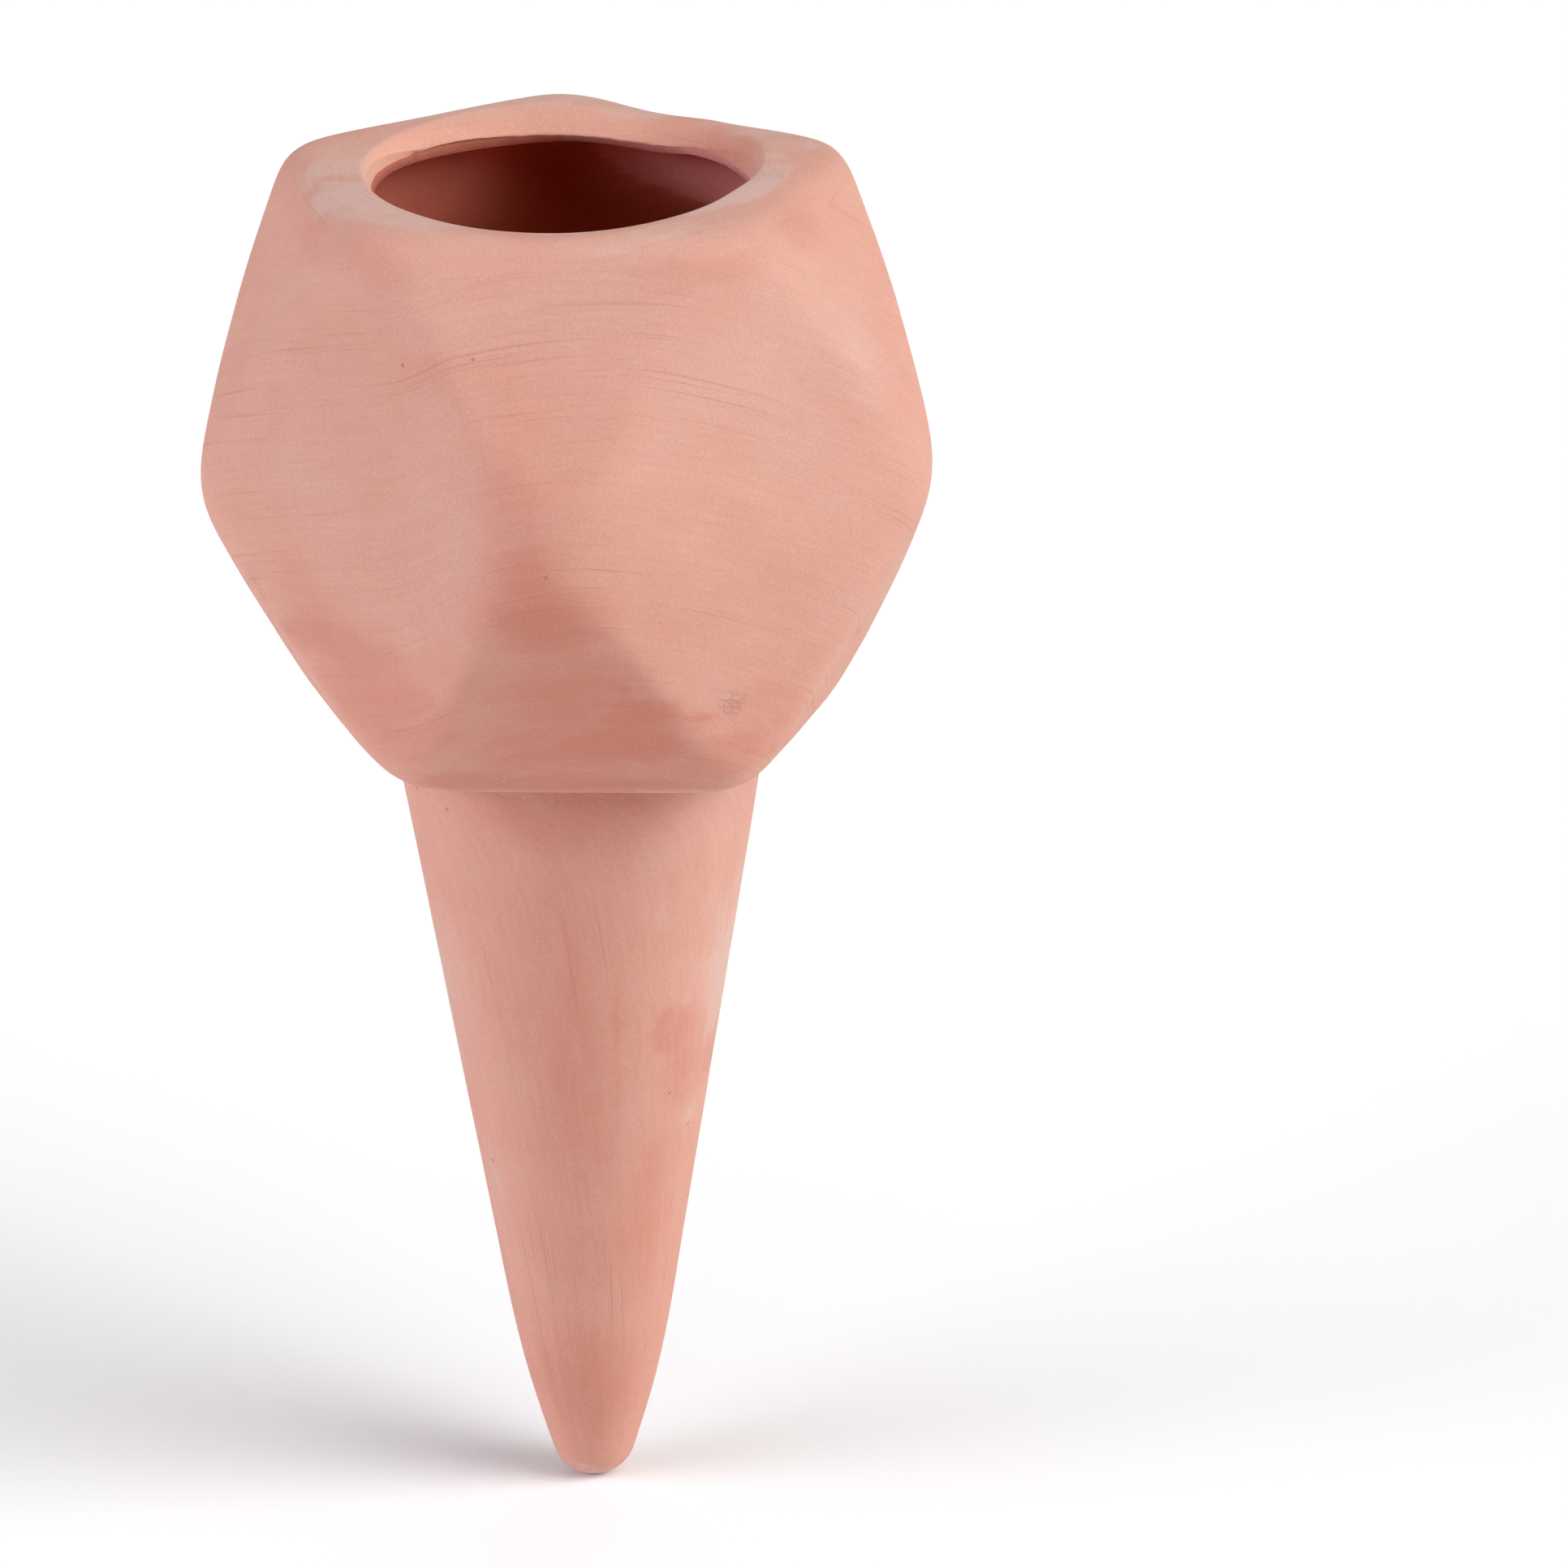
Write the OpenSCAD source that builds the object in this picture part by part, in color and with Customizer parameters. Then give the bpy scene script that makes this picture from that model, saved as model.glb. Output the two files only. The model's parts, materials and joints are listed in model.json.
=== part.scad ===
// Terracotta watering spike: a faceted, hollow head that holds the water, and a
// hollow, tapered spike that stands in the soil and lets the water seep out.
// The head and the spike are cast apart and luted together with slip.
// The origin is the centre of the head's flat underside, the level of the soil,
// and +Z points up through the mouth.

/* [Cast clay] */
// Thickness of the cast wall of both pieces
wall = 4.0; // [3:0.1:4.8]
// Thickness of the slip that fills the joint
slip_gap = 0.4; // [0.2:0.05:0.8]

/* [Faceted head] */
// Corners in each of the head's three rings
corner_count = 5; // [5:1:7]
// Height from the flat underside to the rim
head_height = 75.3; // [66:0.1:90]
// Height of the ring of widest corners above the underside
girdle_height = 38.3; // [34:0.1:44]
// Distance from the axis to the outside of an upper corner
upper_reach = 39.0; // [37.5:0.1:42]
// Distance from the axis to the outside of a widest corner
girdle_reach = 48.6; // [45:0.1:54]
// Distance from the axis to the outside of a lower corner
lower_reach = 37.2; // [36:0.1:40]
// Rounding of the upper corners and the rim's outer edge
upper_round = 6.3; // [5.4:0.1:7.5]
// Rounding of the widest corners
girdle_round = 12.8; // [10:0.1:15]
// Rounding of the lower corners
lower_round = 8.4; // [6.5:0.1:9]

/* [Mouth] */
// Radius of the hole through the rim
mouth_radius = 24.2; // [20:0.1:25]
// Rounding of the mouth's upper edge
lip_round = 1.3; // [0.8:0.1:2]

/* [Spike] */
// Length of the spike below the head's underside
spike_length = 105.6; // [85:0.1:130]
// Radius of the spike where it meets the head
spike_top_radius = 24.3; // [22:0.1:26]
// Radius that the straight flank would have at the level of the tip
spike_foot_radius = 6.5; // [5.8:0.1:9]
// Radius of the long curve that draws the flank in towards the nose
flank_round = 150; // [100:1:250]
// Rounding of the nose
nose_round = 5.5; // [4:0.1:7]
// Thickness of the clay under the hollow at the tip
tip_wall = 4.5; // [3.5:0.1:7]
// Rounding of the bottom of the hollow
hollow_round = 1.5; // [1:0.1:2]

/* [Hidden] */

// Facets of a round surface, and of the balls that a hull is stretched over
round_facets = 96;
ball_facets = 32;
// Steps in each arc of the spike's outline
arc_steps = 8;
// Extra reach of a cut past the surface that it opens
overrun = 1;
// Share of the wall's thickness that the spike's spigot is stepped back by
lap_share = 0.5;
// Colours of the fired clay and of the slip
head_colour = [0.87, 0.64, 0.55];
spike_colour = [0.84, 0.60, 0.51];
slip_colour = [0.78, 0.52, 0.43];

half_turn = 180;
corner_step = 2 * half_turn / corner_count;
// The widest corners start at the front, and the other two rings lie between them
front = -half_turn / 2;

// Slope of the spike's straight flank, from the vertical
flank_slope = atan((spike_top_radius - spike_foot_radius) / spike_length);
// The flank's wall is measured square to it, so it is wider when cut level
level_wall = wall / cos(flank_slope);
hollow_top_radius = spike_top_radius - level_wall;
hollow_foot_radius = spike_foot_radius + tip_wall * tan(flank_slope) - level_wall;
// The spigot passes through the floor and ends level with it inside
spigot_radius = spike_top_radius - wall * lap_share;
floor_hole_radius = spigot_radius + slip_gap;
shoulder_level = -slip_gap;

// One ring of balls, each under a corner of the head
module corner_balls(reach, ball_round, level, turn, inset)
    for (corner = [0 : corner_count - 1])
        rotate(front + turn + corner * corner_step)
            translate([reach - ball_round, 0, level])
                sphere(r = ball_round - inset, $fn = ball_facets);

// The head's solid form, drawn in on every side by the inset
module faceted_form(inset)
    hull() {
        corner_balls(upper_reach, upper_round, head_height - upper_round, corner_step / 2, inset);
        corner_balls(girdle_reach, girdle_round, girdle_height, 0, inset);
        corner_balls(lower_reach, lower_round, lower_round, corner_step / 2, inset);
    }

// The ring of clay that rounding the mouth's upper edge takes away
module lip_cut()
    rotate_extrude($fn = round_facets)
        difference() {
            translate([mouth_radius - overrun, head_height - lip_round])
                square([lip_round + overrun, lip_round + overrun]);
            translate([mouth_radius + lip_round, head_height - lip_round])
                circle(r = lip_round, $fn = round_facets);
        }

// Hollow faceted vessel, open at the mouth and at the round hole in its floor
module head()
    color(head_colour)
        difference() {
            faceted_form(0);
            faceted_form(wall);
            translate([0, 0, head_height - wall - overrun])
                cylinder(r = mouth_radius, h = wall + 2 * overrun, $fn = round_facets);
            lip_cut();
            translate([0, 0, -overrun])
                cylinder(r = floor_hole_radius, h = wall + 2 * overrun, $fn = round_facets);
        }

// Points of a blunt cone's outline from its nose, at the origin, up to its top.
// The nose is one arc, a long arc leads from it into the straight flank, and
// the long arc is tangent to both.
function spike_outline(foot_radius, slope, height, long_arc, nose) =
    let (
        // Distance from the nose's centre to the straight flank
        nose_to_flank = foot_radius * cos(slope) + nose * sin(slope),
        inward = long_arc - nose_to_flank,
        along = sqrt(pow(long_arc - nose, 2) - pow(inward, 2)),
        centre_x = along * sin(slope) - inward * cos(slope),
        centre_y = nose + inward * sin(slope) + along * cos(slope),
        // Where the two arcs meet, as the dip of the surface's normal
        meeting = atan2(centre_y - nose, -centre_x)
    )
    concat(
        [for (i = [0 : arc_steps])
            let (dip = half_turn / 2 + (meeting - half_turn / 2) * i / arc_steps)
            [i == 0 ? 0 : nose * cos(dip), nose - nose * sin(dip)]],
        [for (i = [1 : arc_steps])
            let (dip = meeting + (slope - meeting) * i / arc_steps)
            [centre_x + long_arc * cos(dip), centre_y - long_arc * sin(dip)]],
        [[foot_radius + height * tan(slope), height]]
    );

// A solid turned from that outline, with its nose at the given level
module blunt_cone(foot_radius, height, long_arc, nose, level)
    translate([0, 0, level])
        rotate_extrude($fn = round_facets)
            polygon(concat(
                spike_outline(foot_radius, flank_slope, height, long_arc, nose),
                [[0, height]]
            ));

// Hollow porous spike with a blunt tip below and a spigot above its shoulder
module spike()
    color(spike_colour)
        difference() {
            union() {
                blunt_cone(spike_foot_radius, spike_length + shoulder_level,
                    flank_round, nose_round, -spike_length);
                translate([0, 0, shoulder_level])
                    cylinder(r = spigot_radius, h = wall - shoulder_level, $fn = round_facets);
            }
            blunt_cone(hollow_foot_radius, spike_length - tip_wall,
                flank_round - wall, hollow_round, tip_wall - spike_length);
            translate([0, 0, -overrun])
                cylinder(r = hollow_top_radius, h = wall + 2 * overrun, $fn = round_facets);
        }

// Fired slip that fills the joint: a sleeve round the spigot and a washer on the shoulder
module luting_slip()
    color(slip_colour)
        difference() {
            union() {
                cylinder(r = floor_hole_radius, h = wall, $fn = round_facets);
                translate([0, 0, shoulder_level])
                    cylinder(r = spike_top_radius - slip_gap, h = slip_gap, $fn = round_facets);
            }
            translate([0, 0, shoulder_level - overrun])
                cylinder(r = spigot_radius, h = wall + slip_gap + 2 * overrun, $fn = round_facets);
        }

head();
spike();
luting_slip();
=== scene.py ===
import json
import bpy
import numpy as np
from mathutils import Euler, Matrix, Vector


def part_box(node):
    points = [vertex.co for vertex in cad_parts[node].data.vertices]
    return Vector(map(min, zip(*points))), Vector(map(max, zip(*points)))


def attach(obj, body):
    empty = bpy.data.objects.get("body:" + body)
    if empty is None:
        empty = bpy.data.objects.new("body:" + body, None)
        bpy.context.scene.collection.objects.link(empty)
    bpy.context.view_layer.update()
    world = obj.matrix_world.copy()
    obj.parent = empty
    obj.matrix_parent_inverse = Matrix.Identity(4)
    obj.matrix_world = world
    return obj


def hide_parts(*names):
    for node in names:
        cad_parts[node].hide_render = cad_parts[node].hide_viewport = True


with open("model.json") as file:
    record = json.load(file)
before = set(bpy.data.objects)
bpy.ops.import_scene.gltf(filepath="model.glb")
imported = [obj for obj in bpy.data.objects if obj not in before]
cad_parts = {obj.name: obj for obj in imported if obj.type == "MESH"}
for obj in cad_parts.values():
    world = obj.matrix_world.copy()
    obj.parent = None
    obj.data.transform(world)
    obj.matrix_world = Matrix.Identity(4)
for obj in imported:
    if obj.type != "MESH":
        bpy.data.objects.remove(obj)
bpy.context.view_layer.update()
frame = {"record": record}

# Head
# A hollow vessel with flat, triangular faces, slip cast in red earthenware in a plaster mould.
# The mouth was cut with a knife while the clay was leather hard and its lip sponged round,
# the outside was wiped with a wet brush, and it was fired once, low, without a glaze.
MM = 0.001
head_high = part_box("head")[1]
spike_low, spike_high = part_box("spike")
slip_low, slip_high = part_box("luting_slip")
mouth = next(mount for mount in frame["record"]["mounts"] if mount["name"] == "mouth")

# Sizes are in millimetres from here on
wall = spike_high.z / MM
slip_gap = -slip_low.z / MM
spike_top_radius = slip_high.x / MM + slip_gap
spigot_radius = spike_top_radius - wall / 2
floor_hole_radius = spigot_radius + slip_gap
mouth_radius = mouth["dims"]["r_mm"]
cast_slack = 0.16
rim_level = head_high.z / MM - cast_slack / 2

facet_centre = 37.85
# Each facet's bearing, tilt above level, and distance from the facets' centre. The four rings of
# five are a little uneven, as the mould was
facets = (
    (0.0, 27.5, 46.14),
    (72.4, 28.3, 46.06),
    (143.4, 27.6, 45.48),
    (215.8, 26.9, 46.03),
    (288.0, 26.3, 45.57),
    (-1.0, -29.2, 44.88),
    (75.8, -28.6, 44.39),
    (143.9, -30.3, 44.40),
    (216.0, -30.2, 44.45),
    (289.6, -29.2, 44.33),
    (35.5, 6.1, 42.19),
    (108.4, 7.7, 41.69),
    (180.0, 6.2, 41.50),
    (253.5, 4.8, 41.89),
    (324.2, 6.1, 42.15),
    (35.1, -8.1, 43.20),
    (107.2, -11.4, 42.06),
    (180.0, -10.6, 41.80),
    (252.0, -10.2, 42.86),
    (322.2, -11.8, 42.54),
)
# How softly two facets meet along a fold, at the rim and at the foot
fold_softness = 0.38
rim_softness = 1.49
foot_softness = 1.58
inner_fold_softness = 2.6
# The corners: bearings, radius, height, softness and its reach in degrees. The front one is worn
corners = (
    ((36, 108, 180, 252, 324), 36, 70, 1.24, 14),
    ((72, 144, 216, 288), 46, 38.3, 1.52, 17),
    ((0,), 46, 38.3, 1.75, 14),
    ((36, 108, 180, 252, 324), 35, 6, 1.05, 16),
)

# The mouth was cut a little left of the middle, and its bore flares towards the lip
mouth_offset = 0.3
bore_flare = 0.7
# How high the bore has to stand to flare fully, and the least that the lip leaves of it
full_flare_height = 2.2
least_bore = 0.3
# The lip is narrow all round, and sponged further back in four places: bearing, reach to each
# side, and what that adds to the lip's width and to its fall. At the back it is a wide bevel that
# falls almost to the knife's edge. The fall fades outwards as a power of the way left
lip_width = 0.8
lip_width_share = 0.3
lip_fall = 1.0
lip_curve = 1.4
wide_lips = (
    (10, 57, 5.4, 0.56),
    (-21, 61, 3.2, 0.27),
    (175, 90, 3.8, 2.2),
    (-148, 50, 0.6, 1.2),
)
# Where the rim sagged in drying, at the back right: bearing, reach to each side, and depth
rim_sags = ((145, 42, 0.8), (166, 24, 0.95))
# The sag fades out below the rim, down to this height and over this much of it
sag_foot = 64
sag_height = 9
# Where the cut edge under the mouth runs high or low, and a notch in it
edge_bends = ((-155, 38, 0.31), (-133, 33, 0.61), (-99, 30, 0.8), (135, 24, 0.99), (141, 49, -0.83))
notch_bearing = -125
notch_reach = 2.6
notch_depth = 0.25
# How high that edge lies above the hollow's ceiling, and how it strays sideways and in height:
# how far, over what length, and the seed of the stray
edge_rise = 0.5
edge_bend_share = 0.3
edge_strays = ((0.14, 26, 2), (0.05, 4, 3))
edge_waves = ((0.12, 14, 4), (0.05, 2.4, 5))
# How much the thickness of the wall strays, and about how far the skin is from the facets' centre
wall_stray = 0.25
skin_reach = 45
# How unevenly the outside takes up the cast slack: the share of it, over what length, and the seed
skin_waves = ((0.3, 40, 6), (0.2, 13, 7))
# Inside, how far the wall starts and ends outside its holes, and how far its top edge and the
# knife's burr stay below the cut edge. Only the top follows the bends of that edge
inner_foot_inset = 0.6
inner_top_inset = 0.25
inner_top_drop = 0.12
burr_inset = 0.08
burr_drop = 0.07
bend_power = 8

head_columns = 384
# Each ring's height up the bore: close together at both edges, to keep them crisp
bore_rows = (0, 0.03, 0.2, 0.4, 0.6, 0.8, 0.96)
lip_rows = 16
outer_rows = 146
floor_edge_rows = 5
inner_rows = 40


def swell(bearings, centre, reach):
    """A hump over the bearings in degrees: the squared cosine, 1 at its centre and 0 past its reach."""
    away = (bearings - centre + 180) % 360 - 180
    return np.cos(np.clip(away / reach, -1, 1) * np.pi / 2) ** 2


def wander(points, length, seed):
    """A smooth, irregular field from about -1 to 1: twice the mean of eight sine waves.

    Their directions, phases and pitches are seeded, and the pitches are 0.7 to 1.5 to a length.
    """
    waves = 8
    dice = np.random.default_rng(seed)
    heading = dice.normal(size=(waves, 3))
    heading /= np.linalg.norm(heading, axis=1)[:, None]
    pitch = 2 * np.pi / length * dice.uniform(0.7, 1.5, waves)
    phase = dice.uniform(0, 2 * np.pi, waves)
    return np.sin(points @ (heading * pitch[:, None]).T + phase).sum(axis=-1) / (waves / 2)


def facet_planes():
    """Outward normals of the rim, the underside and the four rings of facets, and their distances."""
    turn, rise = np.radians(np.array(facets)[:, :2]).T
    sides = np.stack([np.cos(rise) * np.sin(turn), -np.cos(rise) * np.cos(turn), np.sin(rise)], axis=-1)
    normals = np.vstack([[(0, 0, 1), (0, 0, -1)], sides])
    distances = np.append([rim_level - facet_centre, facet_centre], np.array(facets)[:, 2])
    return normals, distances


def outer_softness(directions):
    """How rounded the outside is along each ray: crisp along the folds, softer at corners and edges.

    Round each corner the extra softness falls as exp(-(angle / reach)^2). It grows steadily
    towards the rim and the foot, over fade degrees from the elevations where that begins.
    """
    rim_start, foot_start, fade = 30, 32, 14
    softness = np.full(directions.shape[:-1], fold_softness)
    for bearings, radius, height, peak, reach in corners:
        bearings = np.array(bearings)
        aims = rays(np.full(len(bearings), radius), np.full(len(bearings), height), bearings)
        nearest = (directions @ aims.T).max(axis=-1)
        angle = np.degrees(np.arccos(np.clip(nearest, -1, 1)))
        rise = (peak - fold_softness) * np.exp(-(angle / reach) ** 2)
        softness = np.maximum(softness, fold_softness + rise)
    elevation = np.degrees(np.arcsin(np.clip(directions[..., 2], -1, 1)))
    to_rim = np.clip((elevation - rim_start) / fade, 0, 1)
    to_foot = np.clip((-elevation - foot_start) / fade, 0, 1)
    softness = np.maximum(softness, fold_softness + (rim_softness - fold_softness) * to_rim)
    return np.maximum(softness, fold_softness + (foot_softness - fold_softness) * to_foot)


def faceted_skin(directions, inset, softness):
    """Points where rays from the facets' centre meet the rounded form.

    The form is where softness * log(sum(exp((n . p - distance + inset) / softness))) is zero.
    Newton's method starts from the nearest flat facet that the ray doesn't just graze.
    """
    grazing, newton_steps = 0.01, 9
    normals, distances = facet_planes()
    slopes = directions @ normals.T
    limits = distances - inset[..., None]
    hits = np.where(slopes > grazing, limits / np.maximum(slopes, grazing), np.inf)
    reach = hits.min(axis=-1)
    softness = np.broadcast_to(softness, reach.shape)
    for _ in range(newton_steps):
        excess = (reach[..., None] * slopes - limits) / softness[..., None]
        peak = excess.max(axis=-1, keepdims=True)
        share = np.exp(excess - peak)
        total = share.sum(axis=-1, keepdims=True)
        share = share / total
        value = softness * (peak + np.log(total))[..., 0]
        reach = reach - value / (share * slopes).sum(axis=-1)
    return directions * reach[..., None] + np.array([0, 0, facet_centre])


def rays(radii, heights, bearings):
    """Unit vectors from the facets' centre to rings of these radii and heights, at each bearing."""
    turn = np.radians(bearings)
    aim = np.stack([radii * np.sin(turn), -radii * np.cos(turn), heights - facet_centre], axis=-1)
    return aim / np.linalg.norm(aim, axis=-1, keepdims=True)


def turned(radii, heights, bearings):
    """Points at these radii and heights, at each bearing from the front towards the right."""
    turn = np.radians(bearings) + 0 * radii
    return np.stack([radii * np.sin(turn), -radii * np.cos(turn), heights + 0 * radii], axis=-1)


def skin_mesh(name, rings, poles=None, **fields):
    """A closed mesh over a grid of rings, with its fields kept as attributes of the points.

    Column j joins column j + 1 and the last joins the first. The last ring joins the first one
    too, unless two poles are given: then a fan of triangles closes each end. The rings run down
    the outside, so every face is wound to look outwards.
    """
    rows, columns = rings.shape[:2]
    index = np.arange(rows * columns).reshape(rows, columns)
    upper = index if poles is None else index[:-1]
    lower = np.roll(index, -1, axis=0)[: len(upper)]
    quads = np.stack([upper, lower, np.roll(lower, -1, axis=1), np.roll(upper, -1, axis=1)], axis=-1)
    faces = quads.reshape(-1, 4).tolist()
    points = rings.reshape(-1, 3)
    fields = {field: values.reshape(rows * columns, -1) for field, values in fields.items()}
    if poles is not None:
        first, last = rows * columns, rows * columns + 1
        start, end = index[0], index[-1]
        faces += np.stack([np.full(columns, first), start, np.roll(start, -1)], axis=-1).tolist()
        faces += np.stack([np.full(columns, last), np.roll(end, -1), end], axis=-1).tolist()
        points = np.vstack([points, poles])
        for field, values in fields.items():
            ends = [values[:columns].mean(axis=0), values[-columns:].mean(axis=0)]
            fields[field] = np.vstack([values, ends])
    mesh = bpy.data.meshes.new(name)
    mesh.from_pydata((points * MM).tolist(), [], faces)
    for field, values in fields.items():
        kind, slot = ("FLOAT_VECTOR", "vector") if values.shape[1] == 3 else ("FLOAT", "value")
        attribute = mesh.attributes.new(field, kind, "POINT")
        attribute.data.foreach_set(slot, values.astype(np.float32).ravel())
    mesh.shade_smooth()
    mesh.update()
    piece = bpy.data.objects.new(name, mesh)
    bpy.context.scene.collection.objects.link(piece)
    return piece


def head_rings():
    """The head's wall as rings: up the bore, over the lip, down the outside, in through the floor's
    hole, and back up the inside to the bore's lower edge. Also how far inside each point is.
    """
    bearings = np.arange(head_columns) * 360 / head_columns
    round_ring = turned(np.full(head_columns, mouth_radius), np.zeros(head_columns), bearings)
    width = lip_width + lip_width_share * lip_width * wander(round_ring, 30, 1)
    fall = np.full(head_columns, lip_fall)
    for centre, reach, wider, lower in wide_lips:
        width = width + wider * swell(bearings, centre, reach)
        fall = fall + lower * swell(bearings, centre, reach)
    sag = sum(depth * swell(bearings, centre, reach) for centre, reach, depth in rim_sags)
    bend = sum(rise * swell(bearings, centre, reach) for centre, reach, rise in edge_bends)
    notch = notch_depth * swell(bearings, notch_bearing, notch_reach)
    aside = -mouth_offset * np.sin(np.radians(bearings))

    # The knife's edge under the mouth, ragged and never quite round
    edge_radius = mouth_radius + aside
    for stray, length, seed in edge_strays:
        edge_radius = edge_radius + stray * wander(round_ring, length, seed)
    edge_radius = edge_radius + edge_bend_share * bend
    edge_level = rim_level - wall + edge_rise + bend + notch
    for stray, length, seed in edge_waves:
        edge_level = edge_level + stray * wander(round_ring, length, seed)
    ceiling = rim_level - wall + np.minimum(bend, 0)
    fall = np.minimum(fall, rim_level - sag - edge_level - least_bore)

    over = np.linspace(0, 1, lip_rows + 1)[:, None]
    bore_share = np.clip((rim_level - sag - fall - edge_level) / full_flare_height, 0, 1)
    lip_radii = mouth_radius + bore_flare * bore_share + aside + width * over
    lip_drop = fall * (1 - over) ** lip_curve
    down = np.linspace(0, 1, outer_rows + 1)[1:, None]
    lip_angle = np.arctan2(lip_radii[-1], rim_level - facet_centre)
    floor_angle = np.pi - np.arctan2(floor_hole_radius, facet_centre)
    angle = lip_angle + (floor_angle - lip_angle) * down
    outer = rays(np.sin(angle), np.cos(angle) + facet_centre, bearings)
    directions = np.vstack([rays(lip_radii, np.full_like(lip_radii, rim_level), bearings), outer])
    heading = directions * skin_reach
    uneven = 0.5
    for share, length, seed in skin_waves:
        uneven = uneven + share * wander(heading, length, seed)
    inset = np.maximum(cast_slack * uneven, 0)
    skin = faceted_skin(directions, inset, outer_softness(directions))
    near_rim = np.clip((skin[..., 2] - sag_foot) / sag_height, 0, 1)
    skin[..., 2] -= sag * near_rim ** 2 * (3 - 2 * near_rim)
    skin[: lip_rows + 1, :, 2] -= lip_drop

    rise = np.array(bore_rows)[:, None]
    bore_top = np.hypot(skin[0, :, 0], skin[0, :, 1])
    bore = turned(
        edge_radius + (bore_top - edge_radius) * rise,
        edge_level + (skin[0, :, 2] - edge_level) * rise,
        bearings,
    )
    hole = np.linspace(0, 1, floor_edge_rows)[:, None] * np.ones(head_columns)
    hole_wall = turned(floor_hole_radius + 0 * hole, wall * hole, bearings)

    up = np.linspace(0, 1, inner_rows)[:, None]
    inner_floor_angle = np.pi - np.arctan2(floor_hole_radius + inner_foot_inset, facet_centre - wall)
    ceiling_angle = np.arctan2(edge_radius + inner_top_inset, ceiling - facet_centre)
    inner_angle = inner_floor_angle + (ceiling_angle - inner_floor_angle) * up
    inner_aim = rays(np.sin(inner_angle), np.cos(inner_angle) + facet_centre, bearings)
    thickness = wall + wall_stray * wander(inner_aim * skin_reach, 30, 8)
    inner = faceted_skin(inner_aim, thickness, inner_fold_softness)
    inner[..., 2] += np.minimum(bend, 0) * up ** bend_power
    inner[-1, :, 2] = np.minimum(inner[-1, :, 2], edge_level - inner_top_drop)
    knife_edge = turned(edge_radius + burr_inset, edge_level - burr_drop, bearings)[None]

    inner = np.concatenate([inner, knife_edge])
    rings = np.concatenate([bore, skin, hole_wall, inner])
    outer_count = len(bore) + len(skin)
    inside = np.concatenate([np.zeros(outer_count), hole_wall[:, 0, 2] / wall, np.ones(len(inner))])
    return rings, inside[:, None] * np.ones(head_columns)


# Where the wet brush left pale bloom, bared the redder clay or left it rough on the head:
# place, then how far the patch spreads level and in height, and its strength
head_bloom = (
    ((-33.0, -22.0, 62.0), 11, 13, 0.12),
    ((30.0, -30.0, 58.0), 17, 16, 0.22),
    ((-13.0, -38.5, 38.0), 9, 12, 0.24),
    ((-19.0, -36.0, 28.0), 10, 6, 0.15),
    ((0.2, -31.5, 1.2), 13, 0.9, 0.3),
    ((16.5, -30.7, 1.2), 10, 0.9, 0.4),
    ((44.0, -10.0, 22.0), 5, 12, 0.3),
    ((38.6, -20.6, 54.8), 7, 7, 0.35),
    ((-27.0, -28.0, 49.0), 13, 14, 0.22),
    ((0.0, -36.0, 67.0), 25, 5, 0.26),
    ((-40.0, 0.0, 45.0), 14, 14, 0.15),
    ((10.0, 42.0, 40.0), 18, 11, 0.25),
    ((-24.0, 34.0, 24.0), 15, 8, 0.25),
)
head_ruddy = (
    ((-27.8, -28.8, 20.6), 11, 4.4, 0.5),
    ((-20.0, -33.0, 12.0), 15, 8, 0.5),
    ((10.3, -37.8, 14.8), 5.5, 4.2, 0.95),
    ((8.5, -36.6, 9.8), 11, 4.0, 0.9),
    ((0.0, -33.0, 2.5), 19, 3.5, 0.75),
    ((18.6, -31.3, 7.0), 10, 4.5, 0.6),
    ((25.0, -30.0, 13.0), 8, 5, 0.4),
    ((-23.7, -29.0, 71.2), 9, 2.2, 0.25),
    ((18.0, -31.0, 70.6), 9, 1.8, 0.4),
    ((31.0, -15.0, 71.2), 7, 3.0, 0.3),
    ((0.0, -36.0, 70.0), 20, 3.0, 0.12),
    ((-34.0, -18.0, 71.0), 8, 2.4, 0.4),
    ((20.0, 16.0, 71.0), 12, 6.0, 0.5),
    ((-20.0, 32.0, 60.0), 13, 9, 0.4),
    ((34.0, 24.0, 30.0), 12, 8, 0.5),
    ((12.0, 36.0, 12.0), 16, 5, 0.5),
)
# Ruddy patches without an edge: the rubbed front corner, and painted shade on the facet below it
head_flush_and_shade = (
    ((-2.2, -47.6, 35.0), 6.5, 9, 0.74),
    ((-3.5, -46.5, 46.0), 7, 13, 0.5),
    ((-0.5, -45.5, 30.0), 9, 9, 0.9),
    ((1.5, -40.0, 18.0), 14, 9, 0.75),
    ((0.0, -36.0, 8.0), 18, 10, 0.7),
)
head_scuffs = (
    ((21.6, -33.5, 14.8), 2.2, 2.5, 1.0),
    ((30.5, -16.0, 72.0), 4.0, 2.6, 0.4),
    ((-23.9, -29.2, 72.2), 3.0, 1.6, 0.2),
    ((27.0, -5.0, 74.6), 2.4, 1.5, 0.5),
    ((-2.0, 27.0, 73.5), 9.0, 2.0, 0.3),
    ((-38.5, -20.6, 26.0), 1.2, 3.6, 0.8),
    ((12.0, -31.5, 3.5), 10.0, 2.0, 0.35),
)
# On the inside, painted light where light falls in through the mouth: pale mauve at the right, and
# a lighter red at the left and the front, over the inside's dark colour, which is painted shade
inner_bloom = (((20.0, 22.0, 70.0), 20, 10, 1.25),)
inner_lit_red_patches = (
    ((-34.0, 16.0, 70.0), 30, 20, 1.5),
    ((0.0, -34.0, 40.0), 45, 50, 0.9),
)
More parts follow.
